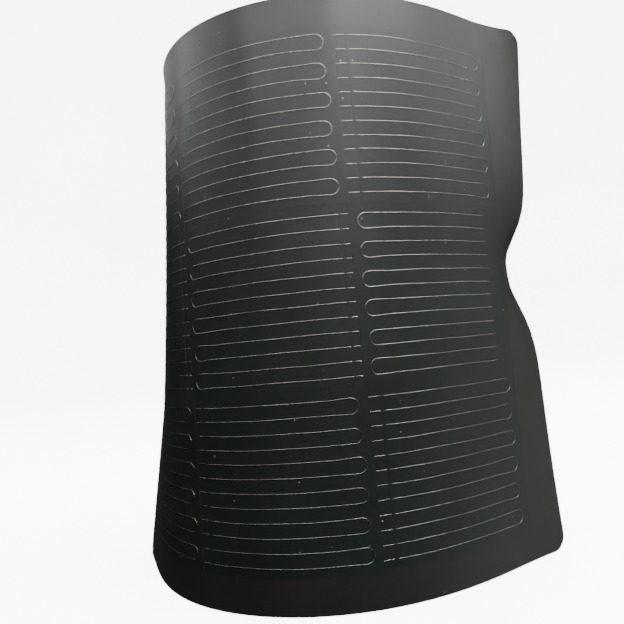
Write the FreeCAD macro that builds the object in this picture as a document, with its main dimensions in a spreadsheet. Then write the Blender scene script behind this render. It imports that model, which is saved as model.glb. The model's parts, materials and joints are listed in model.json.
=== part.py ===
import FreeCAD, Part
import math
import os
import Sketcher

# A flexible thin-film solar laminate, standing on its lower edge and bowed towards the viewer.
# +X is to the right, +Z is up and the cells face -Y.  The origin is the middle of the
# bounding box's base.  Lengths are millimetres and angles are degrees.
#
# The bend is a row of eleven narrow strips side by side: a flat margin at each end and
# nine arcs between them.  Neighbours turn against each other about an upright line in the
# middle of the laminate's thickness.  Places on the laminate are given as
#   along  - distance along the middle of the thickness, from the middle strip, + to the right
#   depth  - distance from the back face towards the front
#   height - distance above the lower edge.

Vector = FreeCAD.Vector
UP = Vector(0, 0, 1)

ARCS = 9
ROWS = 3
COLUMNS = 3
RUNS = 12
MIDDLE = ARCS // 2
TOUCHING = 1e-6

DIMENSIONS = (
    ("sheet_width", 159.0),
    ("sheet_height", 133.0),
    ("corner_radius", 4.0),
    ("total_bend", 123.4),
    ("slit", 0.3),
    ("back_sheet_thickness", 0.25),
    ("encapsulant_thickness", 0.75),
    ("front_film_thickness", 0.1),
    ("column_pitch", 43.75),
    ("row_pitch", 39.55),
    ("row_stagger", 3.1),
    ("field_lift", 0.43),
    ("cell_width", 41.1),
    ("cell_height", 39.0),
    ("cell_thickness", 0.08),
    ("cell_depth", 0.62),
    ("cell_clearance", 0.05),
    ("wire_pitch", 3.175),
    ("wire_width", 0.25),
    ("wire_thickness", 0.16),
    ("wire_depth", 0.72),
    ("wire_inset", 2.0),
    ("tail_depth", 0.44),
    ("tail_length", 6.0),
    ("tail_set_back", 0.3),
    ("step_clearance", 0.1),
    ("channel_depth", 0.42),
    ("channel_thickness", 0.48),
    ("margin_channel", 8.6),
    ("ribbon_width", 3.5),
    ("ribbon_thickness", 0.08),
    ("ribbon_depth", 0.34),
    ("ribbon_offset", 4.3),
    ("ribbon_overrun", 0.8),
    ("tab_reach", 5.5),
    ("tab_thickness", 0.16),
    ("tab_slope", 0.3),
    ("tab_lap", 0.02),
    ("mask_offset", 0.7),
    ("mask_width", 7.6),
    ("mask_thickness", 0.05),
    ("pad_length", 6.0),
    ("pad_depth", 0.06),
    ("pad_thickness", 0.27),
    ("window_clearance", 0.4),
    ("small_clearance", 0.02),
)


# ---- driving dimensions and the expressions made from them ---------------------------------

def make_sheet(doc):
    sheet = doc.addObject("Spreadsheet::Sheet", "dims")
    for row, (alias, value) in enumerate(DIMENSIONS, start=1):
        cell = "B%d" % row
        sheet.set("A%d" % row, alias)
        sheet.set(cell, str(value))
        sheet.setAlias(cell, alias)
    doc.recompute()
    return sheet


doc = FreeCAD.newDocument("flexible_solar_sheet")
dims = make_sheet(doc)

THICKNESS = "(dims.back_sheet_thickness + dims.encapsulant_thickness + dims.front_film_thickness)"
ARC_LENGTH = "(%d * dims.column_pitch / %d)" % (COLUMNS, ARCS)
MARGIN_WIDTH = "((dims.sheet_width - %d * dims.column_pitch) / 2)" % COLUMNS
CHANNEL_HEIGHT = "(dims.cell_height + 2 * dims.cell_clearance)"

LAYERS = {
    "back_sheet": ("0", "dims.back_sheet_thickness"),
    "encapsulant": ("dims.back_sheet_thickness", "dims.encapsulant_thickness"),
    "front_film": (
        "(dims.back_sheet_thickness + dims.encapsulant_thickness)",
        "dims.front_film_thickness",
    ),
}


def number(expression):
    """The present value of an expression that names the sheet's cells."""
    return float(dims.evalExpression(expression.replace("dims.", "")))


def bend_expression(index):
    """The turn of one arc: the curvature follows a cosine, strongest in the middle strip."""
    turn = 180.0 / ARCS
    return "(dims.total_bend * cos(%g) * sin(%g))" % (turn * (index - MIDDLE), turn / 2)


def radius_expression(index):
    """The radius of one arc at the middle of the laminate's thickness."""
    return "(%s * 180 / (pi * %s))" % (ARC_LENGTH, bend_expression(index))


def row_expression(row):
    """The height of a row's centre line: row 0 is at the top."""
    return "(dims.sheet_height / 2 + dims.field_lift + %d * dims.row_pitch)" % (1 - row)


# ---- the bent line of the laminate, seen from above ----------------------------------------

class Strip:
    """One strip of the chain: a flat margin (radius is None) or an arc."""

    def __init__(self, start, length, radius, origin, heading):
        self.start = start
        self.end = start + length
        self.radius = radius
        self.origin = origin
        self.heading = heading

    def turned(self, along):
        if self.radius is None:
            return self.heading
        return self.heading + math.degrees((along - self.start) / self.radius)

    def normal(self, along):
        angle = math.radians(self.turned(along))
        return Vector(math.sin(angle), -math.cos(angle), 0)

    def centre(self):
        return self.origin - self.normal(self.start) * self.radius

    def point(self, along, offset):
        """A point at a distance in front of the middle of the thickness."""
        if self.radius is None:
            angle = math.radians(self.heading)
            run = Vector(math.cos(angle), math.sin(angle), 0) * (along - self.start)
            return self.origin + run + self.normal(along) * offset
        return self.centre() + self.normal(along) * (self.radius + offset)

    def edge(self, start, end, offset):
        first = self.point(start, offset)
        last = self.point(end, offset)
        if self.radius is None:
            return Part.LineSegment(first, last).toShape()
        return Part.Arc(first, self.point((start + end) / 2, offset), last).toShape()


def lay_out_strips():
    """Walks from the left edge to the right one, then centres the result on the origin."""
    arc = number(ARC_LENGTH)
    margin = number(MARGIN_WIDTH)
    half = number(THICKNESS) / 2
    lengths = [margin] + [arc] * ARCS + [margin]
    radii = [None] + [number(radius_expression(index)) for index in range(ARCS)] + [None]
    strips = []
    along = -number("dims.sheet_width") / 2
    here = Vector(0, 0, 0)
    heading = -sum(number(bend_expression(index)) for index in range(ARCS)) / 2
    for length, radius in zip(lengths, radii):
        strip = Strip(along, length, radius, here, heading)
        strips.append(strip)
        here = strip.point(strip.end, 0)
        heading = strip.turned(strip.end)
        along = strip.end
    middle = strips[MIDDLE + 1]
    nearest = middle.point(0, half)
    furthest = strips[-1].point(along, -half)
    shift = Vector(nearest.x, (nearest.y + furthest.y) / 2, 0)
    for strip in strips:
        strip.origin = strip.origin - shift
    return strips


STRIPS = lay_out_strips()


def stretch(start, end, depth):
    """The plan edges between two places along the laminate, at one depth."""
    offset = depth - number(THICKNESS) / 2
    edges = []
    for strip in STRIPS:
        low = max(start, strip.start)
        high = min(end, strip.end)
        if high - low > TOUCHING:
            edges.append(strip.edge(low, high, offset))
    return edges


def end_point(along, depth):
    """The point at one place along the laminate and one depth."""
    offset = depth - number(THICKNESS) / 2
    for strip in STRIPS:
        if along <= strip.end + TOUCHING:
            return strip.point(along, offset)
    return STRIPS[-1].point(along, offset)


def bent_slab(pieces, low, high):
    """A slab that follows the bend, from a list of (start, end, depth, thickness) pieces laid
    end to end, between two heights.  Pieces at different depths are joined by a slope."""
    pieces = sorted(pieces)
    back = []
    front = []
    for index, (start, end, depth, thickness) in enumerate(pieces):
        if index:
            before = pieces[index - 1]
            for side, edges in ((0, back), (1, front)):
                first = end_point(before[1], before[2] + side * before[3])
                last = end_point(start, depth + side * thickness)
                edges.append(Part.LineSegment(first, last).toShape())
        back += stretch(start, end, depth)
        front += stretch(start, end, depth + thickness)
    outline = list(back)
    for index in (0, -1):
        along = pieces[index][1 if index else 0]
        depth = pieces[index][2]
        first = end_point(along, depth)
        last = end_point(along, depth + pieces[index][3])
        outline.append(Part.LineSegment(first, last).toShape())
    outline += front
    face = Part.Face(Part.Wire(Part.__sortEdges__(outline)))
    slab = face.extrude(UP * (high - low))
    slab.translate(UP * low)
    return slab


# ---- sketches and bodies -------------------------------------------------------------------

def new_body(name):
    body = doc.addObject("PartDesign::Body", name)
    body.Label = name
    return body


def sketch_on(body, name, offset="0"):
    """A sketch on the body's XZ plane, moved towards -Y by an expression."""
    plane = [part for part in body.Origin.OriginFeatures if part.Role == "XZ_Plane"][0]
    sketch = body.newObject("Sketcher::SketchObject", name)
    sketch.AttachmentSupport = (plane, [""])
    sketch.MapMode = "FlatFace"
    sketch.setExpression("AttachmentOffset.Base.z", offset)
    return sketch


def add_rectangle(sketch, near, low, width, height, side=1):
    """A fully constrained rectangle, to the right of the upright axis or (side -1) to its left.
    The four sizes are expressions."""
    x_near = side * number(near)
    x_far = side * number("%s + %s" % (near, width))
    y_low = number(low)
    y_high = number("%s + %s" % (low, height))
    corners = [
        Vector(x_near, y_low, 0),
        Vector(x_far, y_low, 0),
        Vector(x_far, y_high, 0),
        Vector(x_near, y_high, 0),
    ]
    first = sketch.GeometryCount
    for index in range(4):
        sketch.addGeometry(Part.LineSegment(corners[index], corners[(index + 1) % 4]), False)
    for index in range(4):
        sketch.addConstraint(
            Sketcher.Constraint("Coincident", first + index, 2, first + (index + 1) % 4, 1)
        )
        kind = "Vertical" if index % 2 else "Horizontal"
        sketch.addConstraint(Sketcher.Constraint(kind, first + index))
    origin = (-1, 1)
    corner = (first, 1)
    far_corner = (first, 2)
    top_corner = (first + 1, 2)
    across = (origin, corner, near), (corner, far_corner, width)
    upward = (origin, corner, low), (far_corner, top_corner, height)
    for start, end, size in across:
        pair = start + end if side > 0 else end + start
        bind(sketch, "DistanceX", pair, size)
    for start, end, size in upward:
        bind(sketch, "DistanceY", start + end, size)


def bind(sketch, kind, points, size):
    """A distance constraint whose value is an expression."""
    index = sketch.addConstraint(Sketcher.Constraint(kind, *points, number(size)))
    sketch.setExpression("Constraints[%d]" % index, size)


def add_channels(sketch, near, width, side=1):
    """The three row channels that hold the cells, as rectangles."""
    for row in range(ROWS):
        low = "%s - %s / 2" % (row_expression(row), CHANNEL_HEIGHT)
        add_rectangle(sketch, near, low, width, CHANNEL_HEIGHT, side)


# ---- the laminate's three layers -----------------------------------------------------------

def make_arc_layer(layer, index):
    """One layer of one bent strip, turned about the arc's own upright axis."""
    depth, thickness = LAYERS[layer]
    strip = STRIPS[index + 1]
    body = new_body("%s_%02d" % (layer, index + 2))
    section = sketch_on(body, body.Label + "_section")
    inner = "%s - %s / 2" % (radius_expression(index), THICKNESS)
    add_rectangle(section, "%s + %s" % (inner, depth), "0", thickness, "dims.sheet_height")
    if layer == "encapsulant":
        add_channels(section, inner + " + dims.channel_depth", "dims.channel_thickness")
    turn = body.newObject("PartDesign::Revolution", body.Label + "_turn")
    turn.Profile = section
    turn.ReferenceAxis = (section, ["V_Axis"])
    turn.Midplane = True
    angle = "%s * (1 - dims.slit / %s)" % (bend_expression(index), ARC_LENGTH)
    turn.setExpression("Angle", angle)
    section.Visibility = False
    middle = (strip.start + strip.end) / 2
    turned = FreeCAD.Rotation(UP, strip.turned(middle) - 90)
    body.Placement = FreeCAD.Placement(strip.centre(), turned)
    return body


def margin_placement(side):
    """The margin's own frame: its origin on the turning line, X outwards on the right one."""
    strip = STRIPS[-1] if side > 0 else STRIPS[0]
    along = strip.start if side > 0 else strip.end
    return FreeCAD.Placement(strip.point(along, 0), FreeCAD.Rotation(UP, strip.heading))


def add_pad(body, name, rectangles, depth, thickness, side):
    """A plate that reaches from one depth towards the front of the laminate."""
    sketch = sketch_on(body, name + "_outline", "%s - %s / 2" % (depth, THICKNESS))
    for near, low, width, height in rectangles:
        add_rectangle(sketch, near, low, width, height, side)
    pad = body.newObject("PartDesign::Pad", name)
    pad.Profile = sketch
    pad.setExpression("Length", thickness)
    return pad


def add_pocket(body, name, rectangles, depth, thickness, side):
    """Cuts from the pocket's front towards the back of the laminate."""
    front = "%s + %s - %s / 2" % (depth, thickness, THICKNESS)
    sketch = sketch_on(body, name + "_outline", front)
    for near, low, width, height in rectangles:
        add_rectangle(sketch, near, low, width, height, side)
    doc.recompute()
    before = body.Shape.Volume
    pocket = body.newObject("PartDesign::Pocket", name)
    pocket.Profile = sketch
    pocket.setExpression("Length", thickness)
    doc.recompute()
    if body.Shape.Volume >= before:
        raise RuntimeError("%s cuts nothing" % name)
    return pocket


def round_outer_corners(body, side):
    """Rounds the two corners of a margin that are also corners of the laminate."""
    doc.recompute()
    pad = body.Tip
    reach = number(MARGIN_WIDTH)
    names = []
    for index, edge in enumerate(pad.Shape.Edges, start=1):
        first = edge.Vertexes[0]
        last = edge.Vertexes[-1]
        along_y = abs(first.X - last.X) < TOUCHING and abs(first.Z - last.Z) < TOUCHING
        if along_y and abs(first.X - side * reach) < TOUCHING:
            names.append("Edge%d" % index)
    fillet = body.newObject("PartDesign::Fillet", body.Label + "_corners")
    fillet.Base = (pad, names)
    fillet.setExpression("Radius", "dims.corner_radius")


def ribbon_span(rows):
    """The low end and the length of a ribbon that serves the wires of some rows."""
    low = "(%s - %g * dims.wire_pitch - dims.ribbon_overrun)" % (
        row_expression(rows[-1]),
        (RUNS - 1) / 2,
    )
    length = "(%d * dims.row_pitch + %d * dims.wire_pitch + 2 * dims.ribbon_overrun)" % (
        rows[-1] - rows[0],
        RUNS - 1,
    )
    return low, length


def pad_low(row):
    """The lower edge of a solder pad, level with the middle of its row."""
    return "(%s - dims.pad_length / 2)" % row_expression(row)


FIELD_LOW = "(%s - %s / 2)" % (row_expression(ROWS - 1), CHANNEL_HEIGHT)
FIELD_HEIGHT = "(%d * dims.row_pitch + %s)" % (ROWS - 1, CHANNEL_HEIGHT)

# Each margin: the rows that its link ribbon joins and the row that its lead ribbon serves.
RIBBON_ROWS = {-1: ((1, 2), 0), 1: ((0, 1), 2)}


def window_rectangle(side, clearance):
    """The opening over a margin's solder pad."""
    lead_row = RIBBON_ROWS[side][1]
    return (
        "dims.ribbon_offset - %s" % clearance,
        "%s - %s" % (pad_low(lead_row), clearance),
        "(dims.ribbon_width + 2 * %s)" % clearance,
        "(dims.pad_length + 2 * %s)" % clearance,
    )


def make_margin_layer(layer, side):
    """One layer of a flat margin, with its cavities and the window over the solder pad."""
    depth, thickness = LAYERS[layer]
    body = new_body("%s_%02d" % (layer, 1 if side < 0 else ARCS + 2))
    outline = (("dims.slit / 2", "0", MARGIN_WIDTH + " - dims.slit / 2", "dims.sheet_height"),)
    add_pad(body, body.Label + "_plate", outline, depth, thickness, side)
    round_outer_corners(body, side)
    window = window_rectangle(side, "dims.window_clearance")
    if layer == "back_sheet":
        add_pocket(body, body.Label + "_window", (window,), depth, thickness, side)
    if layer == "encapsulant":
        channels = [
            (
                "0",
                "%s - %s / 2" % (row_expression(row), CHANNEL_HEIGHT),
                "dims.margin_channel",
                CHANNEL_HEIGHT,
            )
            for row in range(ROWS)
        ]
        channels_name = body.Label + "_channels"
        add_pocket(
            body, channels_name, channels, "dims.channel_depth", "dims.channel_thickness", side
        )
        link_low, link_length = ribbon_span(RIBBON_ROWS[side][0])
        lead_low, lead_length = ribbon_span((RIBBON_ROWS[side][1],))
        seats = [
            (
                "dims.ribbon_offset - dims.small_clearance",
                low + " - dims.small_clearance",
                "(dims.ribbon_width + 2 * dims.small_clearance)",
                length + " + 2 * dims.small_clearance",
            )
            for low, length in ((link_low, link_length), (lead_low, lead_length))
        ]
        seat_depth = "(dims.ribbon_depth - dims.small_clearance)"
        seat_thickness = "(dims.channel_depth - dims.ribbon_depth + 2 * dims.small_clearance)"
        add_pocket(body, body.Label + "_ribbon_seats", seats, seat_depth, seat_thickness, side)
        mask = [
            (
                "dims.mask_offset - dims.small_clearance",
                FIELD_LOW,
                "(dims.mask_width + 2 * dims.small_clearance)",
                FIELD_HEIGHT,
            )
        ]
        mask_depth = "(dims.wire_depth - dims.small_clearance)"
        mask_thickness = "(dims.mask_thickness + 2 * dims.small_clearance)"
        add_pocket(body, body.Label + "_mask_seat", mask, mask_depth, mask_thickness, side)
        wall = "(dims.ribbon_depth - dims.back_sheet_thickness)"
        add_pocket(body, body.Label + "_window", (window,), depth, wall, side)
    body.Placement = margin_placement(side)
    return body


# ---- cells, wires and ribbons --------------------------------------------------------------

def cell_centre(row, column):
    """The outer rows sit half the stagger to the right, the middle row half to the left."""
    lead = tail_direction(row)
    return (column - 1) * number("dims.column_pitch") - lead * number("dims.row_stagger") / 2


def tail_direction(row):
    """The wires' tails leave the outer rows' cells to the left, the middle row's to the right."""
    return 1 if row % 2 else -1


def feature(name, shape):
    """A document object that holds a finished shape."""
    piece = doc.addObject("Part::Feature", name)
    piece.Label = name
    piece.Shape = shape
    piece.Placement = shape.Placement
    return piece


def make_cell(row, column):
    """One cell: a coated foil that follows the bend."""
    centre = cell_centre(row, column)
    half = number("dims.cell_width") / 2
    level = number(row_expression(row))
    rise = number("dims.cell_height") / 2
    foil = (centre - half, centre + half, number("dims.cell_depth"), number("dims.cell_thickness"))
    slab = bent_slab([foil], level - rise, level + rise)
    return feature("cell_r%dc%d" % (row + 1, column + 1), slab)


def tail_end(row, column):
    """Where the wire's hidden end lies: under the next cell, or on the margin's ribbon."""
    lead = tail_direction(row)
    if (column == 0 and lead < 0) or (column == COLUMNS - 1 and lead > 0):
        field_half = number("%d * dims.column_pitch / 2" % COLUMNS)
        return lead * (
            field_half + number("dims.ribbon_offset + dims.ribbon_width - dims.tail_set_back")
        )
    edge = cell_centre(row, column) + lead * number("dims.cell_width") / 2
    gap = number("dims.column_pitch - dims.cell_width")
    return edge + lead * (gap + number("dims.tail_length"))


def ordered(first, second, depth, thickness):
    """A piece for bent_slab whose two ends may be given in either order."""
    return (min(first, second), max(first, second), depth, thickness)


def make_wire(row, column):
    """One wire laid to and fro over a cell: twelve runs joined by loops at the cell's far end
    and, under the next cell, at the ends of the tails."""
    lead = tail_direction(row)
    half = number("dims.cell_width") / 2
    edge = cell_centre(row, column) + lead * half
    tip = cell_centre(row, column) - lead * (half - number("dims.wire_inset"))
    clear = number("dims.step_clearance")
    gap = number("dims.column_pitch - dims.cell_width")
    width = number("dims.wire_width")
    thickness = number("dims.wire_thickness")
    on_cell = number("dims.wire_depth")
    under = number("dims.tail_depth")
    end = tail_end(row, column)
    run = [
        ordered(tip, edge + lead * clear, on_cell, thickness),
        ordered(edge + lead * (gap - clear), end, under, thickness),
    ]
    top_run = number(row_expression(row)) + number("dims.wire_pitch") * (RUNS - 1) / 2
    levels = [top_run - number("dims.wire_pitch") * index for index in range(RUNS)]
    solids = [bent_slab(run, level - width / 2, level + width / 2) for level in levels]
    for index in range(RUNS - 1):
        low = levels[index + 1] - width / 2
        high = levels[index] + width / 2
        if index % 2:
            loop = ordered(end - lead * width, end, under, thickness)
        else:
            loop = ordered(tip, tip + lead * width, on_cell, thickness)
        solids.append(bent_slab([loop], low, high))
    name = "wire_r%dc%d" % (row + 1, column + 1)
    wire = solids[0].multiFuse(solids[1:])
    if len(wire.Solids) != 1:
        raise RuntimeError("%s is not one length of wire" % name)
    return feature(name, wire.Solids[0])


def bound_box(name, placement, near, depth, low, sizes, side):
    """A Part::Box in a margin's frame.  The sizes are expressions for width, thickness, height."""
    box = doc.addObject("Part::Box", name)
    box.Label = name
    for prop, size in zip(("Length", "Width", "Height"), sizes):
        box.setExpression(prop, size)
    left = near if side > 0 else -near - number(sizes[0])
    half = number(THICKNESS) / 2
    corner = Vector(left, half - depth - number(sizes[1]), low)
    box.Placement = placement * FreeCAD.Placement(corner, FreeCAD.Rotation())
    return box


def make_ribbon(name, rows, tab_row, side):
    """A flat ribbon in a margin.  Its tab reaches under the end cell of one row."""
    low, length = ribbon_span(rows)
    sizes = ("dims.ribbon_width", "dims.ribbon_thickness", length)
    offset = number("dims.ribbon_offset")
    depth = number("dims.ribbon_depth")
    bar_name = name if tab_row is None else name + "_bar"
    bar = bound_box(bar_name, margin_placement(side), offset, depth, number(low), sizes, side)
    if tab_row is None:
        return bar
    field_half = number("%d * dims.column_pitch / 2" % COLUMNS)
    tab_low, tab_length = [number(size) for size in ribbon_span((tab_row,))]
    near = field_half + number("dims.ribbon_offset")
    far = near + number("dims.ribbon_width")
    slope = number("dims.tab_slope")
    lap = number("dims.tab_lap")
    tip = field_half - number("dims.tab_reach")
    tip_depth = number("dims.tail_depth")
    thickness = number("dims.tab_thickness")
    root = number("dims.ribbon_depth + dims.ribbon_thickness") - lap
    pieces = [
        ordered(side * tip, side * near, tip_depth, thickness),
        ordered(side * (near + slope), side * far, root, tip_depth + thickness - root),
    ]
    tab = feature(name + "_tab", bent_slab(pieces, tab_low, tab_low + tab_length))
    ribbon = doc.addObject("Part::Fuse", name)
    ribbon.Label = name
    ribbon.Base = bar
    ribbon.Tool = tab
    return ribbon


def make_mask(name, side):
    """The black strip that covers the ribbons in a margin."""
    sizes = ("dims.mask_width", "dims.mask_thickness", FIELD_HEIGHT + " - 2 * dims.small_clearance")
    near = number("dims.mask_offset")
    depth = number("dims.wire_depth")
    low = number(FIELD_LOW + " + dims.small_clearance")
    return bound_box(name, margin_placement(side), near, depth, low, sizes, side)


def make_solder_pad(name, side):
    """The tinned pad on the back of a lead ribbon, open to the back through a window."""
    sizes = ("dims.ribbon_width", "dims.pad_thickness", "dims.pad_length")
    near = number("dims.ribbon_offset")
    depth = number("dims.pad_depth")
    low = number(pad_low(RIBBON_ROWS[side][1]))
    return bound_box(name, margin_placement(side), near, depth, low, sizes, side)


# ---- the whole laminate --------------------------------------------------------------------

nodes = []
for layer in LAYERS:
    nodes.append(make_margin_layer(layer, -1))
    for index in range(ARCS):
        nodes.append(make_arc_layer(layer, index))
    nodes.append(make_margin_layer(layer, 1))
for row in range(ROWS):
    for column in range(COLUMNS):
        nodes.append(make_cell(row, column))
        nodes.append(make_wire(row, column))
nodes.append(make_ribbon("lead_ribbon_negative", (0,), None, -1))
nodes.append(make_ribbon("link_ribbon_left", (1, 2), 1, -1))
nodes.append(make_ribbon("link_ribbon_right", (0, 1), 0, 1))
nodes.append(make_ribbon("lead_ribbon_positive", (2,), 2, 1))
nodes.append(make_mask("ribbon_mask_left", -1))
nodes.append(make_mask("ribbon_mask_right", 1))
nodes.append(make_solder_pad("solder_pad_negative", -1))
nodes.append(make_solder_pad("solder_pad_positive", 1))
doc.recompute()

for item in doc.Objects:
    if any(state in ("Invalid", "Error") for state in item.State):
        raise RuntimeError("%s did not build: %s" % (item.Label, item.State))
for node in nodes:
    if node.Shape.isNull() or not node.Shape.isValid() or len(node.Shape.Solids) != 1:
        raise RuntimeError("%s is not one valid solid" % node.Label)

os.makedirs("parts", exist_ok=True)
for node in nodes:
    node.Shape.exportStep("parts/%s.step" % node.Label)
    print("%-22s %10.3f mm3" % (node.Label, node.Shape.Volume))
print("strip joints (x, y):")
for strip in STRIPS:
    print("%8.3f %8.3f  heading %7.3f" % (strip.origin.x, strip.origin.y, strip.heading))
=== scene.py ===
import json
import math
import random

import bmesh
import bpy
import numpy as np
from mathutils import Matrix, Vector


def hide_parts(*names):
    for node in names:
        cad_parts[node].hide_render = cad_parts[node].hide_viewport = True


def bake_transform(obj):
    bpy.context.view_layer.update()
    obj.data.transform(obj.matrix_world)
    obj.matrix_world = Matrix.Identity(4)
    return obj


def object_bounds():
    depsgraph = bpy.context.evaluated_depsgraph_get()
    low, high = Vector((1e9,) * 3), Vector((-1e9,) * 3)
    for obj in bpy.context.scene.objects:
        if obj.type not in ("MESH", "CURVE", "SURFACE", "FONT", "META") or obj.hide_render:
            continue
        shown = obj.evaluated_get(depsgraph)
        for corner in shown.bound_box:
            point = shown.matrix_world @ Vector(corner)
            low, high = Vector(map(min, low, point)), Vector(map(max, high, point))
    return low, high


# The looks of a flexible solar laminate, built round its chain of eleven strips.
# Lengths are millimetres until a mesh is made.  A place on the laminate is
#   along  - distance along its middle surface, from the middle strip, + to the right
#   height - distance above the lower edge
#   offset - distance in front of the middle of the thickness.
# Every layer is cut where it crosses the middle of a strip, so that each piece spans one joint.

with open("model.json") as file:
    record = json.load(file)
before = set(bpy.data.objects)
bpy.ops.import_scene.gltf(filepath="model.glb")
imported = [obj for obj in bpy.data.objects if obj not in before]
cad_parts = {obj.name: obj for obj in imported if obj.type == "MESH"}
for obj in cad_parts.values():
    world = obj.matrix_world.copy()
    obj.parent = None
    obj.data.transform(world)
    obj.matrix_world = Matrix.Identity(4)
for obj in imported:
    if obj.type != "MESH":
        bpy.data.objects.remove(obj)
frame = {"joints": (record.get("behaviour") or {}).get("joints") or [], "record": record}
cad_low, cad_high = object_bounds()
record = frame["record"]
mounts = {mount["name"]: mount for mount in record["mounts"]}

MM = 0.001
UP = Vector((0, 0, 1))

# The laminate
HEIGHT = (cad_high.z - cad_low.z) / MM
WIDTH = 159.0
CORNER_RADIUS = 4.0
COLUMN_PITCH = 43.75
FIELD = 3 * COLUMN_PITCH
JOINTS = len(frame["joints"])
STRIP_LENGTH = FIELD / (JOINTS - 1)
APEX_Y = mounts["lower_edge"]["pos_m"][1] / MM
MARGIN_NORMAL = Vector(mounts["bond_face_right"]["axis"])
EDGE_HEADING = math.atan2(-MARGIN_NORMAL.x, MARGIN_NORMAL.y)

# How the held sheet departs from a plain bow
FLARE = 0.0834
TWIST = 0.0796
EDGE_CURL = (-0.1278, 0.125, 0.3175)
EDGE_CURL_LENGTH = 18.0
GRIP_DENT = 0.7393
GRIP_LEVEL = 73.1
GRIP_SPREAD = (13.8, 10.1)
LEVER = 62.6
FIELD_CENTRE = HEIGHT / 2 + 0.43

# Layers: offsets of their back and front faces
BACK_SHEET = (-0.55, -0.30)
ENCAPSULANT = (-0.30, 0.16)
BORDER_OFFSET = 0.41
BORDER_WIDTH = 0.6
BORDER_SLOPE = 3.0
CELL = (0.16, 0.20)
MASK = (0.16, 0.195)
RIBBON = (-0.21, -0.05)
FILM = (0.42, 0.55)
WIRE_OFFSET = 0.26
WIRE_HALF_WIDTH = 0.115
WIRE_HALF_HEIGHT = 0.045
HIDDEN_OFFSET = 0.06
TAIL_OFFSET = 0.21

# Cells and wires
ROW_PITCH = 39.55
ROW_STAGGER = 3.1
CELL_WIDTH = 41.1
CELL_HEIGHT = 39.0
WIRE_PITCH = 3.175
RUNS = 12
LOOP_INSET = 2.0
ROUNDED_EDGE = 0.35
EDGE_LEAN = 0.14
FIELD_RISE = ROW_PITCH + CELL_HEIGHT / 2

# Margins
RIBBON_OFFSET = 4.3
RIBBON_WIDTH = 3.5
MASK_SPAN = (0.7, 8.3)
PAD_HEIGHT = 6.0
WINDOW_CLEARANCE = 0.4


# ---- the shape of the bent sheet -----------------------------------------------------------

ALONG = np.linspace(-WIDTH / 2, WIDTH / 2, 637)
LEVELS = np.linspace(0, HEIGHT, 68)


def edge_curl():
    """How far the right edge turns forwards at each height: a little at the corners, and well
    back where the sheet is gripped."""
    lever = (LEVELS - FIELD_CENTRE) / LEVER
    above = LEVELS - GRIP_LEVEL
    spread_here = np.where(above < 0, *GRIP_SPREAD)
    dent = GRIP_DENT * np.exp(-((above / spread_here) ** 2))
    return EDGE_CURL[0] + EDGE_CURL[1] * lever + EDGE_CURL[2] * lever**2 - dent


def headings():
    """The sheet's heading, seen from above, at every grid place: a cosine bow, tighter at the
    top than at the bottom, slightly twisted, with its right edge curled where it is gripped."""
    lever = ((LEVELS - FIELD_CENTRE) / LEVER)[:, None]
    bow = EDGE_HEADING * np.sin(np.pi * np.clip(ALONG / FIELD, -0.5, 0.5))[None, :]
    reach = np.clip((ALONG - WIDTH / 2 + EDGE_CURL_LENGTH) / EDGE_CURL_LENGTH, 0, 1)[None, :]
    return bow * (1 + FLARE * lever) - TWIST * lever - edge_curl()[:, None] * reach


def walk(rate):
    """The running total of a rate along the sheet, zero at its middle."""
    step = ALONG[1] - ALONG[0]
    total = np.zeros_like(rate)
    total[:, 1:] = np.cumsum((rate[:, 1:] + rate[:, :-1]) * step / 2, axis=1)
    return total - total[:, len(ALONG) // 2][:, None]


HEADING = headings()
PLAN_X = walk(np.cos(HEADING))
PLAN_Y = walk(np.sin(HEADING)) + APEX_Y
LEAN_X = np.gradient(PLAN_X, LEVELS, axis=0)
LEAN_Y = np.gradient(PLAN_Y, LEVELS, axis=0)


def look_up(grid, along, height):
    """A grid's value at any place, blended from the four grid places round it."""
    column = np.clip((along - ALONG[0]) / (ALONG[1] - ALONG[0]), 0, len(ALONG) - 1.001)
    row = np.clip(height / (LEVELS[1] - LEVELS[0]), 0, len(LEVELS) - 1.001)
    c = column.astype(int)
    r = row.astype(int)
    across = column - c
    upward = row - r
    low = grid[r, c] * (1 - across) + grid[r, c + 1] * across
    high = grid[r + 1, c] * (1 - across) + grid[r + 1, c + 1] * across
    return low * (1 - upward) + high * upward


def normals(along, height):
    """Unit vectors out of the front face."""
    heading = look_up(HEADING, along, height)
    cosine = np.cos(heading)
    sine = np.sin(heading)
    rise = cosine * look_up(LEAN_Y, along, height) - sine * look_up(LEAN_X, along, height)
    out = np.stack([sine, -cosine, rise], axis=-1)
    return out / np.linalg.norm(out, axis=-1, keepdims=True)


def places(along, height, offset):
    """Points of the sheet, in metres."""
    along, height, offset = np.broadcast_arrays(along, height, offset)
    heading = look_up(HEADING, along, height)
    x = look_up(PLAN_X, along, height) + np.sin(heading) * offset
    y = look_up(PLAN_Y, along, height) - np.cos(heading) * offset
    return np.stack([x, y, height], axis=-1) * MM


def plain_point(along):
    """A place on the plain bow, at half height, and the direction of the sheet there."""
    at = np.array([along])
    level = np.array([FIELD_CENTRE])
    heading = float(look_up(HEADING, at, level)[0])
    x = float(look_up(PLAN_X, at, level)[0])
    y = float(look_up(PLAN_Y, at, level)[0])
    return np.array([x, y]), np.array([math.cos(heading), math.sin(heading)])


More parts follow.
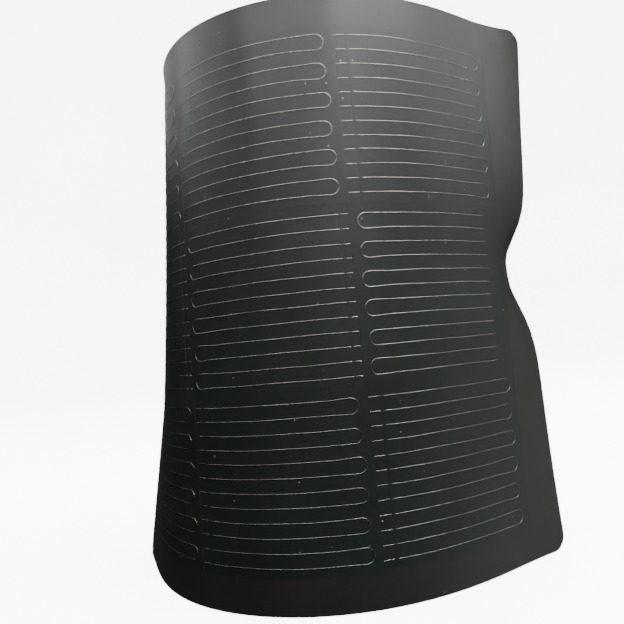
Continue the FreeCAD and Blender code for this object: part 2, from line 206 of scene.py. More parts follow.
def cut_line(centre):
    """Where a layer is cut at the middle of a strip: at each height, the place level with the
    strip's middle, so that neighbouring pieces move alike there."""
    if abs(centre) >= WIDTH / 2:
        return lambda height: np.full_like(height, centre)
    point, direction = plain_point(centre)

    def along_at(height):
        along = np.full_like(height, centre)
        for _ in range(3):
            x = look_up(PLAN_X, along, height) - point[0]
            y = look_up(PLAN_Y, along, height) - point[1]
            along = along - (x * direction[0] + y * direction[1])
        return along

    return along_at


MARGIN_MIDDLE = FIELD / 2 + (WIDTH - FIELD) / 4
STRIP_MIDDLES = (
    [-MARGIN_MIDDLE]
    + [STRIP_LENGTH * (index - (JOINTS - 2) / 2) for index in range(JOINTS - 1)]
    + [MARGIN_MIDDLE]
)
CUTS = [-WIDTH / 2] + STRIP_MIDDLES[1:-1] + [WIDTH / 2]
CUT_LINES = [cut_line(centre) for centre in CUTS]


# ---- making pieces -------------------------------------------------------------------------

def link(name, mesh, materials):
    """An object for a mesh, with its materials."""
    piece = bpy.data.objects.new(name, mesh)
    bpy.context.scene.collection.objects.link(piece)
    for material in materials:
        mesh.materials.append(material)
    return piece


def bend(piece, nodes):
    """A piece at one joint, counted from the left: its placement is baked into its mesh and the CAD
    nodes that it stands for are hidden.
    """
    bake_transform(piece)
    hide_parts(*nodes)
    return piece


def edge_walls(rows, columns, hole, capped):
    """The grid edges that need a wall between the front and back faces, each as two
    (row, column) corners in the order that faces outwards, and whether it is a cut edge."""
    walls = []
    for c in range(columns):
        walls.append(((0, c), (0, c + 1), True))
        walls.append(((rows, c + 1), (rows, c), True))
    for r in range(rows):
        if capped[0]:
            walls.append(((r + 1, 0), (r, 0), capped[0] == "edge"))
        if capped[1]:
            walls.append(((r, columns), (r + 1, columns), capped[1] == "edge"))
    if hole:
        (r0, r1), (c0, c1) = hole
        for c in range(c0, c1):
            walls.append(((r0, c + 1), (r0, c), True))
            walls.append(((r1, c), (r1, c + 1), True))
        for r in range(r0, r1):
            walls.append(((r, c0), (r + 1, c0), True))
            walls.append(((r + 1, c1), (r, c1), True))
    return walls


def slab(name, along, height, back, front, materials, capped=("", ""), hole=None, lean=0.0):
    """A thin closed slab over a grid of places.  capped says how the left and right ends are
    closed: "" leaves a seam open, "seam" closes it and "edge" closes it as a cut edge.  lean is
    how far each place's front face leans to the right, in radians."""
    rows = along.shape[0] - 1
    columns = along.shape[1] - 1
    count = along.size
    points = np.concatenate(
        [places(along, height, front).reshape(-1, 3), places(along, height, back).reshape(-1, 3)]
    )
    outward = normals(along, height).reshape(-1, 3)
    heading = look_up(HEADING, along, height)
    rightward = np.stack([np.cos(heading), np.sin(heading), 0 * heading], axis=-1).reshape(-1, 3)
    leaning = outward + rightward * np.broadcast_to(lean, along.shape).reshape(-1, 1)

    def number(r, c):
        return r * (columns + 1) + c

    faces = []
    facing = []
    edge_faces = []
    for r in range(rows):
        for c in range(columns):
            if hole and hole[0][0] <= r < hole[0][1] and hole[1][0] <= c < hole[1][1]:
                continue
            ring = [number(r, c), number(r, c + 1), number(r + 1, c + 1), number(r + 1, c)]
            faces.append(ring)
            facing.append([leaning[i] for i in ring])
            faces.append([i + count for i in reversed(ring)])
            facing.append([-outward[i] for i in reversed(ring)])
    for first, second, is_edge in edge_walls(rows, columns, hole, capped):
        a = number(*first)
        b = number(*second)
        ring = [b, a, a + count, b + count]
        flat = np.cross(points[a] - points[b], points[a + count] - points[a])
        flat = flat / max(np.linalg.norm(flat), 1e-12)
        if is_edge:
            edge_faces.append(len(faces))
        faces.append(ring)
        facing.append([flat] * 4)
    mesh = bpy.data.meshes.new(name)
    mesh.from_pydata([tuple(p) for p in points], [], faces)
    mesh.polygons.foreach_set("use_smooth", [True] * len(faces))
    piece = link(name, mesh, materials)
    if len(materials) > 1:
        for index in edge_faces:
            mesh.polygons[index].material_index = 1
    used = sorted({i for face in faces for i in face})
    mesh.normals_split_custom_set([tuple(n) for face in facing for n in face])
    if len(used) < len(points):
        remove_loose(mesh)
    return piece


def remove_loose(mesh):
    """Takes out the points that no face uses."""
    work = bmesh.new()
    work.from_mesh(mesh)
    loose = [vertex for vertex in work.verts if not vertex.link_faces]
    bmesh.ops.delete(work, geom=loose, context="VERTS")
    work.to_mesh(mesh)
    work.free()


def grid(joint, left, right, u, v, low, high):
    """Places between two limits.  left and right give the limit at each height, or None for the
    piece's own cuts; low and high give the heights at each place along the plain sheet."""
    left = left or CUT_LINES[joint]
    right = right or CUT_LINES[joint + 1]
    mid = np.array([FIELD_CENTRE])
    start = float(left(mid)[0])
    end = float(right(mid)[0])
    u_grid, v_grid = np.meshgrid(np.asarray(u), np.asarray(v))
    nominal = start + (end - start) * u_grid
    height = low(nominal) + (high(nominal) - low(nominal)) * v_grid
    along = left(height) * (1 - u_grid) + right(height) * u_grid
    return along, height


def constant(value):
    return lambda place: np.full_like(place, value)


def corner_drop(along):
    """How far the rounded corners take the sheet's outline in at each place."""
    past = np.clip(np.abs(along) - (WIDTH / 2 - CORNER_RADIUS), 0, CORNER_RADIUS)
    return CORNER_RADIUS - np.sqrt(CORNER_RADIUS**2 - past**2)


def outline_low(along):
    return corner_drop(along)


def outline_high(along):
    return HEIGHT - corner_drop(along)


CORNER_STEPS = [math.sin(math.radians(angle)) for angle in (0, 15, 30, 45, 60, 75, 90)]


def spread(joint, extra=()):
    """Shares of a piece's length for its grid, closer together at a rounded corner."""
    low = CUTS[joint]
    high = CUTS[joint + 1]
    marks = {low + (high - low) * step / 12 for step in range(13)}
    if joint in (0, JOINTS - 1):
        side = -1 if joint == 0 else 1
        straight = WIDTH / 2 - CORNER_RADIUS
        marks = {mark for mark in marks if side * mark < straight - 0.2}
        marks |= {side * (straight + CORNER_RADIUS * step) for step in CORNER_STEPS}
    marks |= set(extra)
    return [(mark - low) / (high - low) for mark in sorted(marks)]


def end_caps(joint, seam):
    left = "edge" if joint == 0 else seam
    right = "edge" if joint == JOINTS - 1 else seam
    return left, right


ROWS_UP = [step / 36 for step in range(37)]


# ---- materials -----------------------------------------------------------------------------

def new_material(name):
    """A material, its node tree and its shader."""
    material = bpy.data.materials.new(name)
    material.use_nodes = True
    tree = material.node_tree
    shader = tree.nodes["Principled BSDF"]
    return material, tree, shader


def node(tree, kind, **values):
    """A new node with some inputs or settings filled in."""
    made = tree.nodes.new(kind)
    for key, value in values.items():
        if key in made.inputs:
            made.inputs[key].default_value = value
        else:
            setattr(made, key, value)
    return made


def position(tree):
    return node(tree, "ShaderNodeTexCoord").outputs["Object"]


def noise(tree, scale, detail=4.0):
    made = node(tree, "ShaderNodeTexNoise", Scale=scale, Detail=detail)
    tree.links.new(position(tree), made.inputs["Vector"])
    return made.outputs["Fac"]


def ramp(tree, source, stops):
    """A colour for each value, from (value, colour) stops."""
    made = node(tree, "ShaderNodeValToRGB")
    elements = made.color_ramp.elements
    while len(elements) < len(stops):
        elements.new(0.5)
    for element, (place, colour) in zip(elements, stops):
        element.position = place
        element.color = (*colour, 1.0)
    tree.links.new(source, made.inputs["Fac"])
    return made.outputs["Color"]


def span(tree, source, low, high):
    """A noise value stretched to run from low to high."""
    made = node(tree, "ShaderNodeMapRange")
    made.inputs["From Min"].default_value = 0.3
    made.inputs["From Max"].default_value = 0.7
    made.inputs["To Min"].default_value = low
    made.inputs["To Max"].default_value = high
    tree.links.new(source, made.inputs["Value"])
    return made.outputs["Result"]


def add_bump(tree, shader, source, strength, distance, under=None):
    """A bump on the shader, on top of the one under it if there is one."""
    made = node(tree, "ShaderNodeBump", Strength=strength, Distance=distance)
    tree.links.new(source, made.inputs["Height"])
    if under:
        tree.links.new(under, made.inputs["Normal"])
    tree.links.new(made.outputs["Normal"], shader.inputs["Normal"])
    return made.outputs["Normal"]


def specks(tree, scale, size, share):
    """1 on a sparse scatter of small spots, 0 elsewhere."""
    cells = node(tree, "ShaderNodeTexVoronoi", Scale=scale)
    tree.links.new(position(tree), cells.inputs["Vector"])
    near = node(tree, "ShaderNodeMath", operation="LESS_THAN")
    near.inputs[1].default_value = size
    tree.links.new(cells.outputs["Distance"], near.inputs[0])
    chosen = node(tree, "ShaderNodeMath", operation="GREATER_THAN")
    chosen.inputs[1].default_value = 1 - share
    tree.links.new(cells.outputs["Color"], chosen.inputs[0])
    both = node(tree, "ShaderNodeMath", operation="MULTIPLY")
    tree.links.new(near.outputs[0], both.inputs[0])
    tree.links.new(chosen.outputs[0], both.inputs[1])
    return both.outputs[0]


def mix(tree, factor, first, second):
    """The first colour where the factor is 0, and a plain second one where it is 1."""
    made = node(tree, "ShaderNodeMix", data_type="RGBA")
    tree.links.new(factor, made.inputs["Factor"])
    tree.links.new(first, made.inputs["A"])
    made.inputs["B"].default_value = (*second, 1.0)
    return made.outputs["Result"]


DRIFT_SCALE = 38.0
WAVE_SCALE = 45.0
GRAIN_DEPTH = 0.000002
DUST = (0.4, 0.4, 0.37)


def grained(name, dark, light, rough, grain_scale, bump, metallic=0.0, dusty=False, wavy=0.0):
    """A material whose colour drifts between two tones, with a fine grain in its gloss."""
    material, tree, shader = new_material(name)
    shader.inputs["Metallic"].default_value = metallic
    colour = ramp(tree, noise(tree, DRIFT_SCALE), ((0.3, dark), (0.7, light)))
    if dusty:
        colour = mix(tree, specks(tree, 600.0, 0.07, 0.2), colour, DUST)
    tree.links.new(colour, shader.inputs["Base Color"])
    grain = noise(tree, grain_scale, detail=6.0)
    tree.links.new(span(tree, grain, *rough), shader.inputs["Roughness"])
    waves = None
    if wavy:
        waves = add_bump(tree, shader, noise(tree, WAVE_SCALE, detail=1.5), 1.0, wavy)
    add_bump(tree, shader, grain, bump, GRAIN_DEPTH, waves)
    return material


def film_material():
    """The clear front film: a faint haze with a soft gloss."""
    material, tree, shader = new_material("clear_film")
    shader.inputs["Alpha"].default_value = 0.12
    stops = ((0.3, (0.010, 0.011, 0.010)), (0.7, (0.016, 0.017, 0.016)))
    haze = ramp(tree, noise(tree, 60.0), stops)
    tree.links.new(haze, shader.inputs["Base Color"])
    tree.links.new(span(tree, noise(tree, 900.0, detail=3.0), 0.28, 0.36), shader.inputs["Roughness"])
    return material


film = film_material()
film_edge = grained(
    "film_cut_edge", (0.035, 0.035, 0.033), (0.06, 0.06, 0.056), (0.45, 0.6), 1500.0, 0.1
)
encapsulant = grained(
    "dark_field",
    (0.0037, 0.0033, 0.0029),
    (0.0060, 0.0055, 0.0049),
    (0.38, 0.44),
    1400.0,
    0.04,
    dusty=True,
    wavy=0.0004,
)
resin_edge = grained(
    "resin_cut_edge", (0.010, 0.010, 0.0095), (0.02, 0.02, 0.018), (0.5, 0.65), 1500.0, 0.1
)
between_cells = grained(
    "between_cells",
    (0.0004, 0.0024, 0.0011),
    (0.0009, 0.0041, 0.0022),
    (0.38, 0.44),
    1400.0,
    0.04,
    dusty=True,
    wavy=0.0004,
)
cell_face = grained(
    "absorber",
    (0.0004, 0.0030, 0.0013),
    (0.0010, 0.0050, 0.0027),
    (0.37, 0.43),
    1800.0,
    0.04,
    dusty=True,
    wavy=0.0004,
)
cell_edge = grained(
    "foil_edge", (0.05, 0.052, 0.05), (0.09, 0.09, 0.085), (0.3, 0.4), 1500.0, 0.1, 0.6
)
back_face = grained(
    "back_sheet_black", (0.016, 0.0155, 0.0155), (0.026, 0.025, 0.025), (0.48, 0.62), 2200.0, 0.6
)
back_edge = grained(
    "back_sheet_cut_edge", (0.012, 0.012, 0.012), (0.025, 0.025, 0.025), (0.5, 0.6), 1500.0, 0.2
)
mask_face = grained(
    "mask_black", (0.0045, 0.0038, 0.0034), (0.0068, 0.0058, 0.0052), (0.38, 0.44), 1600.0, 0.1
)
ribbon_metal = grained(
    "tinned_ribbon", (0.55, 0.56, 0.54), (0.75, 0.75, 0.72), (0.25, 0.4), 1200.0, 0.2, 1.0
)
solder = grained("solder", (0.6, 0.6, 0.58), (0.76, 0.76, 0.73), (0.36, 0.48), 500.0, 0.1, 0.5)
wire_metal = grained(
    "tinned_wire", (0.15, 0.16, 0.147), (0.24, 0.25, 0.23), (0.22, 0.3), 3000.0, 0.1, 1.0
)


# ---- the laminate's layers -----------------------------------------------------------------

def strip_nodes(layer, joint):
    """The CAD nodes that a piece at one joint stands for."""
    nodes = ["%s_%02d" % (layer, joint + 1)]
    if joint == JOINTS - 1:
        nodes.append("%s_%02d" % (layer, joint + 2))
    return nodes


def make_film(joint):
    """Clear film.  Its pieces meet with open seams, so that no wall shows through it."""
    along, height = grid(joint, None, None, spread(joint), ROWS_UP, outline_low, outline_high)
    name = "front_film_piece_%02d" % (joint + 1)
    piece = slab(name, along, height, FILM[0], FILM[1], (film, film_edge), end_caps(joint, ""))
    bend(piece, strip_nodes("front_film", joint))


def border_shares():
    """Shares of the height for the encapsulant's grid, with its border and the field marked."""
    inner = BORDER_WIDTH + BORDER_SLOPE
    marks = {0.0, BORDER_WIDTH, inner, HEIGHT - inner, HEIGHT - BORDER_WIDTH, HEIGHT}
    marks |= {FIELD_CENTRE - FIELD_RISE, FIELD_CENTRE + FIELD_RISE}
    marks |= {HEIGHT * step / 36 for step in range(1, 36)}
    return [mark / HEIGHT for mark in sorted(marks)]


def paint_field(piece, along, height):
    """The encapsulant's front face takes the cells' tone where it shows between them."""
    columns = along.shape[1] - 1
    for r in range(along.shape[0] - 1):
        for c in range(columns):
            place = abs(along[r : r + 2, c : c + 2].mean())
            rise = abs(height[r : r + 2, c : c + 2].mean() - FIELD_CENTRE)
            if place < FIELD / 2 and rise < FIELD_RISE:
                piece.data.polygons[2 * (r * columns + c)].material_index = 2


def make_encapsulant(joint):
    """Dark through the clear film: thin over the field, and full thickness round the border."""
    ends = [WIDTH / 2 - BORDER_WIDTH, WIDTH / 2 - BORDER_WIDTH - BORDER_SLOPE, FIELD / 2]
    side = -1 if joint == 0 else 1
    extra = [side * end for end in ends] if joint in (0, JOINTS - 1) else []
    u = spread(joint, extra)
    v = border_shares()
    along, height = grid(joint, None, None, u, v, outline_low, outline_high)
    nearest = np.minimum(height, HEIGHT - height)
    nearest = np.minimum(nearest, WIDTH / 2 - np.abs(along))
    share = np.clip((nearest - BORDER_WIDTH) / BORDER_SLOPE, 0, 1)
    front = BORDER_OFFSET + (ENCAPSULANT[1] - BORDER_OFFSET) * share
    name = "encapsulant_piece_%02d" % (joint + 1)
    caps = end_caps(joint, "seam")
    materials = (encapsulant, resin_edge, between_cells)
    piece = slab(name, along, height, ENCAPSULANT[0], front, materials, caps)
    paint_field(piece, along, height)
    bend(piece, strip_nodes("encapsulant", joint))


LEAD_ROWS = {0: 0, JOINTS - 1: 2}


def row_height(row):
    return FIELD_CENTRE + ROW_PITCH * (1 - row)


def window_marks(joint):
    """The sides and the levels of the window over an end piece's solder pad."""
    side = -1 if joint == 0 else 1
    near = FIELD / 2 + RIBBON_OFFSET - WINDOW_CLEARANCE
    far = FIELD / 2 + RIBBON_OFFSET + RIBBON_WIDTH + WINDOW_CLEARANCE
    rise = PAD_HEIGHT / 2 + WINDOW_CLEARANCE
    level = row_height(LEAD_ROWS[joint])
    return sorted((side * near, side * far)), (level - rise, level + rise)


def make_back_sheet(joint):
    """Black sheet.  The end pieces have a window over the solder pad."""
    u = spread(joint)
    v = list(ROWS_UP)
    hole = None
    if joint in LEAD_ROWS:
        sides, levels = window_marks(joint)
        u = spread(joint, sides)
        v = sorted(set(v) | {level / HEIGHT for level in levels})
        low = CUTS[joint]
        length = CUTS[joint + 1] - low
        across = low + np.array(u) * length
        upward = np.array(v) * HEIGHT
        columns = tuple(int(np.argmin(abs(across - place))) for place in sides)
        rows = tuple(int(np.argmin(abs(upward - level))) for level in levels)
        hole = (rows, columns)
    along, height = grid(joint, None, None, u, v, outline_low, outline_high)
    name = "back_sheet_piece_%02d" % (joint + 1)
    caps = end_caps(joint, "seam")
    materials = (back_face, back_edge)
    piece = slab(name, along, height, BACK_SHEET[0], BACK_SHEET[1], materials, caps, hole)
    bend(piece, strip_nodes("back_sheet", joint))


def crossed(start, end):
    """The joints whose pieces a stretch of the sheet falls on."""
    return [j for j in range(JOINTS) if CUTS[j] < end - 0.05 and CUTS[j + 1] > start + 0.05]


def make_strip_of(name, span_along, span_up, offsets, materials, nodes, rows=14, lean=0.0):
    """A flat member of the laminate, such as a cell, in as many pieces as it crosses joints.
    lean rounds its left and right edges a little."""
    start, end = span_along
    for joint in crossed(start, end):
        first = CUTS[joint] < start
        last = CUTS[joint + 1] > end
        left = constant(start) if first else None
        right = constant(end) if last else None
        length = min(end, CUTS[joint + 1]) - max(start, CUTS[joint])
        steps = max(2, round(length / 1.2))
        u = {step / steps for step in range(steps + 1)}
        u |= {ROUNDED_EDGE / length} if first else set()
        u |= {1 - ROUNDED_EDGE / length} if last else set()
        v = [step / rows for step in range(rows + 1)]
        low, high = (constant(level) for level in span_up)
        along, height = grid(joint, left, right, sorted(u), v, low, high)
        to_left = np.clip(1 - (along - start) / ROUNDED_EDGE, 0, 1)
        to_right = np.clip(1 - (end - along) / ROUNDED_EDGE, 0, 1)
        caps = ("edge" if first else "seam", "edge" if last else "seam")
        title = "%s_piece_%02d" % (name, joint + 1)
        leans = lean * (to_right - to_left)
        piece = slab(title, along, height, *offsets, materials, caps, lean=leans)
        bend(piece, nodes)


# ---- cells and wires -----------------------------------------------------------------------

def tail_side(row):
    return 1 if row % 2 else -1


def cell_centre(row, column):
    return (column - 1) * COLUMN_PITCH - tail_side(row) * ROW_STAGGER / 2


def make_cell(row, column):
    centre = cell_centre(row, column)
    level = row_height(row)
    name = "cell_r%dc%d" % (row + 1, column + 1)
    span_along = (centre - CELL_WIDTH / 2, centre + CELL_WIDTH / 2)
    span_up = (level - CELL_HEIGHT / 2, level + CELL_HEIGHT / 2)
    make_strip_of(
        name, span_along, span_up, CELL, (cell_face, cell_edge), [name], lean=EDGE_LEAN
    )


# The wire's offset at distances past its cell's tail edge.  Between cells it dips out of sight
# under the edge seal, shows again across the gap and dives under the next cell; beside a margin
# it stays under the margin's black strip.
GAP_TO_LEFT = (
    (-0.9, WIRE_OFFSET),
    (-0.65, HIDDEN_OFFSET),
    (-0.1, HIDDEN_OFFSET),
    (0.15, TAIL_OFFSET),
    (2.3, TAIL_OFFSET),
    (2.6, HIDDEN_OFFSET),
)
GAP_TO_RIGHT = (
    (0.3, WIRE_OFFSET),
    (0.55, HIDDEN_OFFSET),
    (0.9, HIDDEN_OFFSET),
    (1.15, TAIL_OFFSET),
    (2.3, TAIL_OFFSET),
    (2.6, HIDDEN_OFFSET),
)
INTO_MARGIN = ((-2.4, WIRE_OFFSET), (-2.1, HIDDEN_OFFSET), (-1.5, HIDDEN_OFFSET))
WIRE_STEP = 0.8


def run_points(side, edge, start, end, profile):
    """Places along one run with their offsets, from its tail to where its loop begins."""
    count = int(abs(end - start) / WIRE_STEP)
    marks = [start + (end - start) * step / count for step in range(count + 1)]
    marks += [edge + side * past for past, _ in profile]
    marks = sorted((mark for mark in marks if side * (mark - start) <= 0), key=lambda m: -side * m)
    pasts = [past for past, _ in profile]
    offsets = [offset for _, offset in profile]
    return [(mark, float(np.interp(side * (mark - edge), pasts, offsets))) for mark in marks]


def loop_path(row, column, loop, draw):
    """One U of a wire: out along a run, round the loop's end and back along the next run, as
    (along, height, offset) points.  Hand-laid wire wanders a little."""
    side = tail_side(row)
    centre = cell_centre(row, column)
    edge = centre + side * CELL_WIDTH / 2
    tip = centre - side * (CELL_WIDTH / 2 - LOOP_INSET) + draw.uniform(-0.3, 0.3)
    top = row_height(row) + WIRE_PITCH * ((RUNS - 1) / 2 - 2 * loop)
    radius = WIRE_PITCH / 2 * draw.uniform(1.02, 1.12)
    middle = top - WIRE_PITCH / 2 + draw.uniform(-0.08, 0.08)
    profile = GAP_TO_RIGHT if side > 0 else GAP_TO_LEFT
    if column == 1 + side:
        profile = INTO_MARGIN
    loop_start = tip + side * radius
    places_along = run_points(side, edge, edge + side * profile[-1][0], loop_start, profile)
    runs = []
    for way in (1, -1):
        phase = draw.uniform(0, 2 * math.pi)
        size = draw.uniform(0.02, 0.05)
        wavelength = draw.uniform(16, 28)
        run = []
        for along, offset in places_along:
            away = abs(along - loop_start)
            wander = size * min(1.0, away / 4) * math.sin(phase + 2 * math.pi * away / wavelength)
            share = min(1.0, away / 5)
            half = radius + (WIRE_PITCH / 2 - radius) * share * share * (3 - 2 * share)
            run.append((along, middle + way * half + wander, offset))
        runs.append(run)
    turn = []
    for step in range(1, 14):
        angle = math.pi * step / 14
        along = loop_start - side * radius * math.sin(angle)
        turn.append((along, middle + radius * math.cos(angle), WIRE_OFFSET))
    return runs[0] + turn + runs[1][::-1]


def split_path(path, joint):
    """The stretches of a path that lie on one joint's piece, cut off at its cut lines."""
    data = np.array(path)
    left = CUT_LINES[joint](data[:, 1])
    right = CUT_LINES[joint + 1](data[:, 1])
    inside = (data[:, 0] >= left) & (data[:, 0] <= right)
    stretches = []
    current = []
    for index, point in enumerate(data):
        if index and inside[index] != inside[index - 1]:
            before = data[index - 1]
            outer = index if inside[index - 1] else index - 1
            limit = left[outer] if data[outer, 0] < left[outer] else right[outer]
            share = (limit - before[0]) / (point[0] - before[0])
            crossing = before + (point - before) * share
            if inside[index]:
                current = [crossing]
            else:
                stretches.append(current + [crossing])
                current = []
        if inside[index]:
            current.append(point)
    if current:
        stretches.append(current)
    return [np.array(stretch) for stretch in stretches if len(stretch) > 1]


SIDES = 8


def add_tube(points, faces, path):
    """A flattened wire along a path of points on the sheet, closed at both ends."""
    centre = places(path[:, 0], path[:, 1], path[:, 2])
    out = normals(path[:, 0], path[:, 1])
    ahead = np.gradient(centre, axis=0)
    ahead /= np.linalg.norm(ahead, axis=1, keepdims=True)
    across = np.cross(ahead, out)
    across /= np.linalg.norm(across, axis=1, keepdims=True)
    out = np.cross(across, ahead)
    base = len(points)
    for i in range(len(centre)):
        for k in range(SIDES):
            angle = 2 * math.pi * k / SIDES
            sideways = across[i] * math.cos(angle) * WIRE_HALF_WIDTH
            outwards = out[i] * math.sin(angle) * WIRE_HALF_HEIGHT
            points.append(tuple(centre[i] + (sideways + outwards) * MM))
    for i in range(len(centre) - 1):
        for k in range(SIDES):
            a = base + i * SIDES + k
            b = base + i * SIDES + (k + 1) % SIDES
            faces.append((a, a + SIDES, b + SIDES, b))
    last = base + (len(centre) - 1) * SIDES
    faces.append(tuple(base + k for k in range(SIDES)))
    faces.append(tuple(last + k for k in reversed(range(SIDES))))


def make_wire(row, column):
    name = "wire_r%dc%d" % (row + 1, column + 1)
    draw = random.Random(row * 10 + column)
    loops = [loop_path(row, column, loop, draw) for loop in range(RUNS // 2)]
    for joint in range(JOINTS):
        points = []
        faces = []
        for path in loops:
            for stretch in split_path(path, joint):
                add_tube(points, faces, stretch)
        if not faces:
            continue
        mesh = bpy.data.meshes.new(name)
        mesh.from_pydata(points, [], faces)
        mesh.polygons.foreach_set("use_smooth", [len(face) < SIDES for face in faces])
        piece = link("%s_piece_%02d" % (name, joint + 1), mesh, (wire_metal,))
        bend(piece, [name])


# ---- margins -------------------------------------------------------------------------------

def make_margin(side):
    """The hidden ribbons, the black strip over them and the solder pad at the back."""
    word = "left" if side < 0 else "right"
    joint = 0 if side < 0 else JOINTS - 1
    rise = WIRE_PITCH * (RUNS - 1) / 2 + 0.8
    near = FIELD / 2 + RIBBON_OFFSET
    sides = sorted((side * near, side * (near + RIBBON_WIDTH)))
    link_rows = (1, 2) if side < 0 else (0, 1)
    lead_row = LEAD_ROWS[joint]
    lead = "lead_ribbon_negative" if side < 0 else "lead_ribbon_positive"
    spans = (("link_ribbon_" + word, link_rows[1], link_rows[0]), (lead, lead_row, lead_row))
    for name, bottom, top in spans:
        span_up = (row_height(bottom) - rise, row_height(top) + rise)
        metals = (ribbon_metal, ribbon_metal)
        make_strip_of(name, sides, span_up, RIBBON, metals, [name])
    covered = sorted((side * (FIELD / 2 + MASK_SPAN[0]), side * (FIELD / 2 + MASK_SPAN[1])))
    span_up = (row_height(2) - CELL_HEIGHT / 2, row_height(0) + CELL_HEIGHT / 2)
    name = "ribbon_mask_" + word
    make_strip_of(name, covered, span_up, MASK, (mask_face, mask_face), [name], 36)
    make_pad("solder_pad_negative" if side < 0 else "solder_pad_positive", sides, lead_row)


PAD_BACK = -0.36
PAD_FRONT = -0.24
SOLDER_RISE = 0.17


def make_pad(name, sides, row):
    """A tinned pad with a low dome of solder, seen from the back."""
    shares = np.linspace(0, 1, 13)
    u, v = np.meshgrid(shares, shares)
    along = sides[0] + (sides[1] - sides[0]) * u
    height = row_height(row) + PAD_HEIGHT * (v - 0.5)
    dome = np.clip((1 - (2 * u - 1) ** 4) * (1 - (2 * v - 1) ** 4), 0, 1)
    back = PAD_BACK - SOLDER_RISE * np.sqrt(dome)
    metals = (solder, solder)
    piece = slab(name + "_piece", along, height, back, PAD_FRONT, metals, ("seam", "seam"))
    bend(piece, [name])


for joint in range(JOINTS):
    make_back_sheet(joint)
    make_encapsulant(joint)
    make_film(joint)
for row in range(3):
    for column in range(3):
        make_cell(row, column)
        make_wire(row, column)
make_margin(-1)
make_margin(1)


# ---- camera, light and floor ---------------------------------------------------------------

CAMERA_PLACE = Vector((65.139, -163.601, 55.868)) * MM
CAMERA_AZIMUTH = math.radians(20.915)
CAMERA_ELEVATION = math.radians(3.135)
CAMERA_ROLL = math.radians(-5.322)
CAMERA_LENS = 40.356


def make_camera():
    """A camera close to the sheet, to the right of its front, looking up a little and tilted."""
    camera = bpy.data.objects.new("camera", bpy.data.cameras.new("camera"))
    bpy.context.scene.collection.objects.link(camera)
    flat = math.cos(CAMERA_ELEVATION)
    view = Vector(
        (-math.sin(CAMERA_AZIMUTH) * flat, math.cos(CAMERA_AZIMUTH) * flat, math.sin(CAMERA_ELEVATION))
    )
    right = view.cross(UP).normalized()
    right = Matrix.Rotation(-CAMERA_ROLL, 3, view) @ right
    up = right.cross(view)
    turn = Matrix((right, up, -view)).transposed()
    camera.matrix_world = Matrix.Translation(CAMERA_PLACE) @ turn.to_4x4()
    camera.data.lens = CAMERA_LENS
    camera.data.sensor_width = 36.0
    camera.data.clip_start = 0.005
    bpy.context.scene.camera = camera


# Soft lights on a circle round the sheet: name, azimuth, elevation, side, power
LIGHTS = (
    ("front", 0, 45, 0.9, 17.0),
    ("left", -68, 51, 1.25, 17.5),
    ("right", 70, 50, 0.9, 43.0),
    ("right_low", 40, 28, 0.6, 3.9),
    ("right_side", 110, 30, 0.6, 3.6),
    ("left_side", -120, 35, 0.6, 1.3),
    ("back", 180, 45, 0.9, 20.0),
)
LIGHT_DISTANCE = 1.1
GLOW_AZIMUTH = 110
GLOW_ELEVATION = -12
GLOW_STRENGTH = 0.76
GLOW_FOCUS = 6
DIM = 0.012


def direction(azimuth, elevation):
    """The unit vector towards a place round the sheet; azimuth 0 is in front of it."""
    turn = math.radians(azimuth)
    rise = math.radians(elevation)
    flat = math.cos(rise)
    return Vector((math.sin(turn) * flat, -math.cos(turn) * flat, math.sin(rise)))


def make_light(name, azimuth, elevation, side, power):
    """A square area light facing the middle of the sheet; azimuth 0 is in front of it."""
    data = bpy.data.lights.new(name + "_light", "AREA")
    data.size = side
    data.energy = power
    light = bpy.data.objects.new(name + "_light", data)
    bpy.context.scene.collection.objects.link(light)
    outward = direction(azimuth, elevation)
    light.location = Vector((0, 0, HEIGHT / 2 * MM)) + outward * LIGHT_DISTANCE
    light.rotation_mode = "QUATERNION"
    light.rotation_quaternion = outward.to_track_quat("Z", "Y")


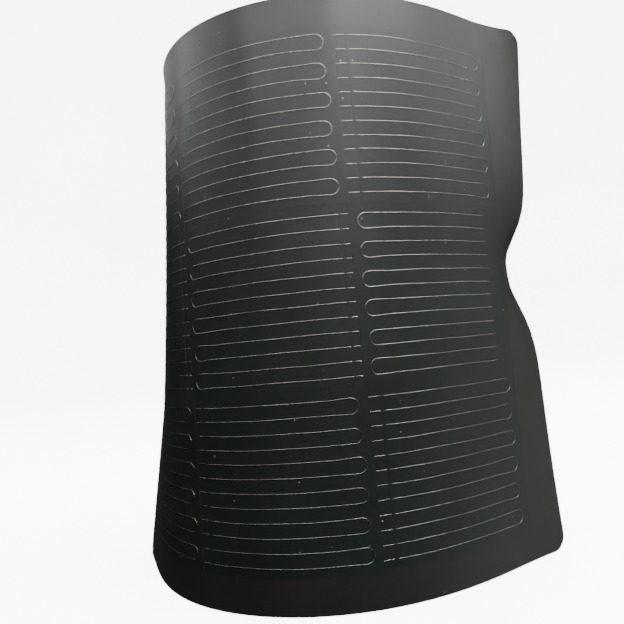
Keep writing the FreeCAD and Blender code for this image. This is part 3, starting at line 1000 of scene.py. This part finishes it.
def make_world():
    """A dim surround with one soft glow, low on the right."""
    world = bpy.data.worlds.new("studio")
    bpy.context.scene.world = world
    world.use_nodes = True
    world.cycles.sampling_method = "NONE"
    tree = world.node_tree
    facing = node(tree, "ShaderNodeVectorMath", operation="DOT_PRODUCT")
    facing.inputs[1].default_value = direction(GLOW_AZIMUTH, GLOW_ELEVATION)
    tree.links.new(node(tree, "ShaderNodeTexCoord").outputs["Generated"], facing.inputs[0])
    clipped = node(tree, "ShaderNodeMath", operation="MAXIMUM")
    clipped.inputs[1].default_value = 0.0
    tree.links.new(facing.outputs["Value"], clipped.inputs[0])
    focused = node(tree, "ShaderNodeMath", operation="POWER")
    focused.inputs[1].default_value = GLOW_FOCUS
    tree.links.new(clipped.outputs[0], focused.inputs[0])
    scaled = node(tree, "ShaderNodeMath", operation="MULTIPLY_ADD")
    scaled.inputs[1].default_value = GLOW_STRENGTH
    scaled.inputs[2].default_value = DIM
    tree.links.new(focused.outputs[0], scaled.inputs[0])
    background = tree.nodes["Background"]
    background.inputs["Color"].default_value = (1, 1, 1, 1)
    tree.links.new(scaled.outputs[0], background.inputs["Strength"])


FLOOR_RADIUS = 1.1
FLOOR_CURVE = 0.5
WALL_HEIGHT = 2.5


def make_floor():
    """A pale floor that curves up into a backdrop all round.  It isn't mirrored in the sheet."""
    bends = [math.radians(angle) for angle in range(15, 91, 15)]
    radii = [0.3, 0.7, FLOOR_RADIUS] + [FLOOR_RADIUS + FLOOR_CURVE * math.sin(a) for a in bends]
    rises = [0.0] * 3 + [FLOOR_CURVE * (1 - math.cos(a)) for a in bends]
    radii.append(radii[-1])
    rises.append(WALL_HEIGHT)
    turns = 64
    points = [(0.0, 0.0, 0.0)]
    for radius, rise in zip(radii, rises):
        for k in range(turns):
            angle = 2 * math.pi * k / turns
            points.append((radius * math.cos(angle), radius * math.sin(angle), rise))
    faces = [(0, 1 + k, 1 + (k + 1) % turns) for k in range(turns)]
    for ring in range(len(radii) - 1):
        for k in range(turns):
            a = 1 + ring * turns + k
            b = 1 + ring * turns + (k + 1) % turns
            faces.append((a, a + turns, b + turns, b))
    mesh = bpy.data.meshes.new("floor")
    mesh.from_pydata(points, [], faces)
    mesh.polygons.foreach_set("use_smooth", [True] * len(faces))
    material, tree, shader = new_material("pale_floor")
    tone = ramp(tree, noise(tree, 3.0), ((0.3, (0.8, 0.8, 0.8)), (0.7, (0.84, 0.84, 0.84))))
    tree.links.new(tone, shader.inputs["Base Color"])
    tree.links.new(tone, shader.inputs["Emission Color"])
    shader.inputs["Emission Strength"].default_value = 8.0
    shader.inputs["Roughness"].default_value = 0.9
    material.cycles.emission_sampling = "NONE"
    floor = link("floor", mesh, (material,))
    floor.location.z = -0.0002
    floor.visible_glossy = False
    floor.visible_diffuse = False
    floor.visible_transmission = False


make_camera()
make_world()
make_floor()
for light in LIGHTS:
    make_light(*light)
